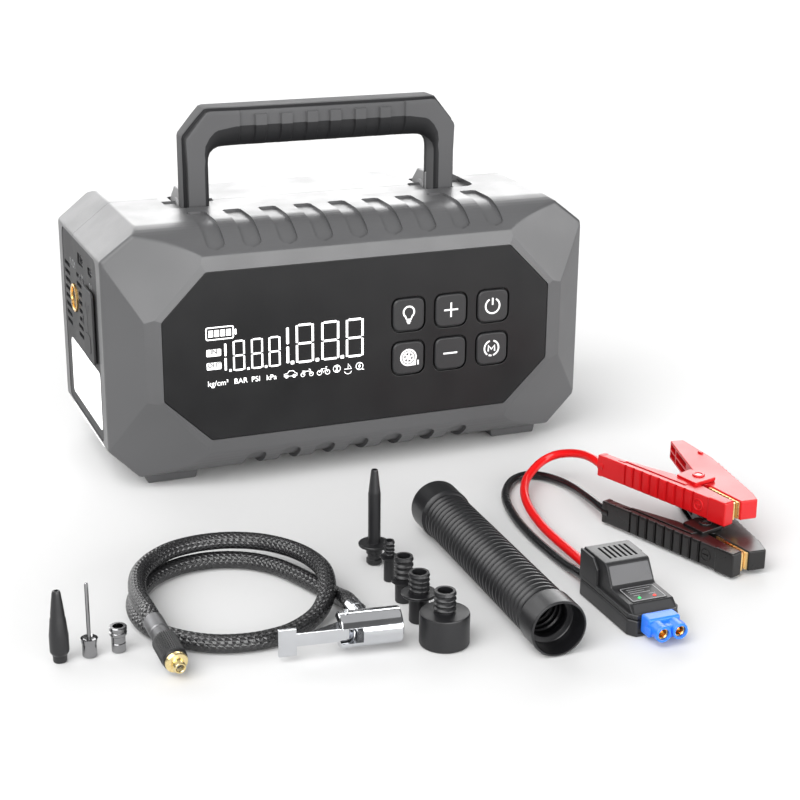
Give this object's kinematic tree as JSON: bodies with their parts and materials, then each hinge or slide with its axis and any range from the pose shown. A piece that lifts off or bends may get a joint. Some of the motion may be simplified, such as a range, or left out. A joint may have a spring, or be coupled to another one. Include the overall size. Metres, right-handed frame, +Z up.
{
  "type": "jump starter pack",
  "caption": "Portable battery jump starter with folding handle, air compressor and blower, with its clamp lead, air hose, duct hose, nozzles and adapters laid out in front of it.",
  "frame": {"origin": "on the floor, under the middle of the box around the whole laid-out kit", "axes": "+Z up from the floor, the unit's front panel faces -Y and its ports side faces -X"},
  "size_m": [0.3882, 0.416, 0.214],
  "materials": {
    "shell": "satin mid-grey moulding",
    "panel": "smoked satin black",
    "key": "soft-touch black",
    "handle": "fine grained dark grey",
    "black_plastic": "satin black moulding",
    "rubber": "matt black rubber",
    "braid": "black and pale grey braid over rubber",
    "red_plastic": "satin red moulding",
    "red_rubber": "smooth red silicone jacket",
    "blue_plastic": "blue nylon",
    "brass": "turned brass",
    "copper": "copper-coloured plating",
    "chrome": "bright chrome",
    "steel": "plain steel",
    "white_plastic": "milky diffuser",
    "nylon": "natural nylon",
    "board": "green circuit board",
    "cell": "blue shrink sleeve"
  },
  "bodies": {
    "unit": {"front_shell": "shell", "rear_shell": "shell", "front_panel": "panel", "display_module": "panel", "side_panel_left": "black_plastic", "side_panel_right": "black_plastic", "led_lens": "white_plastic", "air_outlet": "brass", "usb_module": "steel", "jump_socket": "blue_plastic", "battery_pack": "cell", "main_board": "board", "compressor_motor": "steel", "compressor_cylinder": "steel", "blower_motor": "steel"},
    "button_light_body": {"button_light": "key"},
    "button_plus_body": {"button_plus": "key"},
    "button_power_body": {"button_power": "key"},
    "button_fan_body": {"button_fan": "key"},
    "button_minus_body": {"button_minus": "key"},
    "button_mode_body": {"button_mode": "key"},
    "carry_handle": {"handle": "handle"},
    "flap": {"socket_flap": "rubber"},
    "gear": {"crank_gear": "nylon"},
    "pinion": {"motor_pinion": "brass"},
    "piston_body": {"piston": "steel"},
    "fan": {"blower_impeller": "black_plastic"},
    "jump_lead": {"smart_box_base": "black_plastic", "smart_box_cover": "black_plastic", "label_plate": "panel", "ec5_plug": "blue_plastic", "plug_contact_left": "brass", "plug_contact_right": "brass", "red_cable": "red_rubber", "black_cable": "rubber", "red_clamp_arm": "red_plastic", "red_clamp_pin": "steel", "red_jaw_arm": "copper", "black_clamp_arm": "black_plastic", "black_clamp_pin": "steel", "black_jaw_arm": "copper"},
    "red_lever": {"red_clamp_lever": "red_plastic", "red_jaw_lever": "copper"},
    "black_lever": {"black_clamp_lever": "black_plastic", "black_jaw_lever": "copper"},
    "air_line": {"air_hose": "braid", "hose_ferrule": "steel", "hose_nipple": "brass", "chuck_body": "chrome"},
    "coupling_nut": {"knurled_nut": "black_plastic"},
    "thumb_lever": {"chuck_lever": "chrome"},
    "cone_nozzle_body": {"cone_nozzle": "black_plastic"},
    "ball_needle_body": {"ball_needle": "chrome"},
    "valve_adapter_body": {"valve_adapter": "chrome"},
    "long_nozzle_body": {"long_nozzle": "black_plastic"},
    "adapter_thin_body": {"adapter_thin": "black_plastic"},
    "adapter_mid_body": {"adapter_mid": "black_plastic"},
    "adapter_flanged_body": {"adapter_flanged": "black_plastic"},
    "adapter_large_body": {"adapter_large": "black_plastic"},
    "duct_hose_body": {"duct_hose": "rubber"}
  },
  "joints": [
    {"name": "button_light_press", "type": "slide", "parent": "unit", "child": "button_light_body", "axis": [0, 1, 0], "range_m": [0, 0.0012], "stiffness_N_per_m": 400, "springref_m": -0.0004},
    {"name": "button_plus_press", "type": "slide", "parent": "unit", "child": "button_plus_body", "axis": [0, 1, 0], "range_m": [0, 0.0012], "stiffness_N_per_m": 400, "springref_m": -0.0004},
    {"name": "button_power_press", "type": "slide", "parent": "unit", "child": "button_power_body", "axis": [0, 1, 0], "range_m": [0, 0.0012], "stiffness_N_per_m": 400, "springref_m": -0.0004},
    {"name": "button_fan_press", "type": "slide", "parent": "unit", "child": "button_fan_body", "axis": [0, 1, 0], "range_m": [0, 0.0012], "stiffness_N_per_m": 400, "springref_m": -0.0004},
    {"name": "button_minus_press", "type": "slide", "parent": "unit", "child": "button_minus_body", "axis": [0, 1, 0], "range_m": [0, 0.0012], "stiffness_N_per_m": 400, "springref_m": -0.0004},
    {"name": "button_mode_press", "type": "slide", "parent": "unit", "child": "button_mode_body", "axis": [0, 1, 0], "range_m": [0, 0.0012], "stiffness_N_per_m": 400, "springref_m": -0.0004},
    {"name": "handle_fold", "type": "hinge", "parent": "unit", "child": "carry_handle", "pos_m": [0.02788, 0.1465, 0.15], "axis": [-1, 0, 0], "range_deg": [0, 90]},
    {"name": "flap_hinge", "type": "hinge", "parent": "unit", "child": "flap", "pos_m": [-0.12302, 0.093, 0.0935], "axis": [0, 0, 1], "range_deg": [0, 110], "stiffness_Nm_per_rad": 0.004},
    {"name": "crank_turn", "type": "hinge", "parent": "unit", "child": "gear", "pos_m": [0.00388, 0.171, 0.1028], "axis": [1, 0, 0], "continuous": true},
    {"name": "motor_turn", "type": "hinge", "parent": "unit", "child": "pinion", "pos_m": [0.00388, 0.171, 0.122], "axis": [1, 0, 0], "continuous": true},
    {"name": "piston_stroke", "type": "slide", "parent": "unit", "child": "piston_body", "axis": [0, 1, 0], "range_m": [-0.005, 0.005]},
    {"name": "blower_turn", "type": "hinge", "parent": "unit", "child": "fan", "pos_m": [0.12688, 0.133, 0.084], "axis": [1, 0, 0], "continuous": true},
    {"name": "jump_lead_lift", "type": "slide", "parent": "unit", "child": "jump_lead", "axis": [0, 0, 1], "range_m": [0, 0.1]},
    {"name": "red_clamp_open", "type": "hinge", "parent": "jump_lead", "child": "red_lever", "pos_m": [0.16889, -0.08992, 0.0243], "axis": [0, 0, 1], "range_deg": [0, 36], "stiffness_Nm_per_rad": 0.8, "springref_deg": -20.05},
    {"name": "black_clamp_open", "type": "hinge", "parent": "jump_lead", "child": "black_lever", "pos_m": [0.15799, -0.11672, 0.008], "axis": [0, 0, 1], "range_deg": [0, 36], "stiffness_Nm_per_rad": 0.8, "springref_deg": -20.05},
    {"name": "air_line_lift", "type": "slide", "parent": "unit", "child": "air_line", "axis": [0, 0, 1], "range_m": [0, 0.1]},
    {"name": "nut_turn", "type": "hinge", "parent": "air_line", "child": "coupling_nut", "pos_m": [-0.14361, -0.14212, 0.00955], "axis": [0.0673, -0.9841, -0.1644], "continuous": true},
    {"name": "chuck_lock", "type": "hinge", "parent": "air_line", "child": "thumb_lever", "pos_m": [-0.06136, -0.15523, 0.0112], "axis": [0, 0, 1], "range_deg": [0, 90]},
    {"name": "cone_nozzle_lift", "type": "slide", "parent": "unit", "child": "cone_nozzle_body", "axis": [0, 0, 1], "range_m": [0, 0.1]},
    {"name": "ball_needle_lift", "type": "slide", "parent": "unit", "child": "ball_needle_body", "axis": [0, 0, 1], "range_m": [0, 0.1]},
    {"name": "valve_adapter_lift", "type": "slide", "parent": "unit", "child": "valve_adapter_body", "axis": [0, 0, 1], "range_m": [0, 0.1]},
    {"name": "long_nozzle_lift", "type": "slide", "parent": "unit", "child": "long_nozzle_body", "axis": [0, 0, 1], "range_m": [0, 0.1]},
    {"name": "adapter_thin_lift", "type": "slide", "parent": "unit", "child": "adapter_thin_body", "axis": [0, 0, 1], "range_m": [0, 0.1]},
    {"name": "adapter_mid_lift", "type": "slide", "parent": "unit", "child": "adapter_mid_body", "axis": [0, 0, 1], "range_m": [0, 0.1]},
    {"name": "adapter_flanged_lift", "type": "slide", "parent": "unit", "child": "adapter_flanged_body", "axis": [0, 0, 1], "range_m": [0, 0.1]},
    {"name": "adapter_large_lift", "type": "slide", "parent": "unit", "child": "adapter_large_body", "axis": [0, 0, 1], "range_m": [0, 0.1]},
    {"name": "duct_hose_lift", "type": "slide", "parent": "unit", "child": "duct_hose_body", "axis": [0, 0, 1], "range_m": [0, 0.1]}
  ],
  "couplings": [
    {"joint": "motor_turn", "follows": "crank_turn", "ratio": -3}
  ]
}
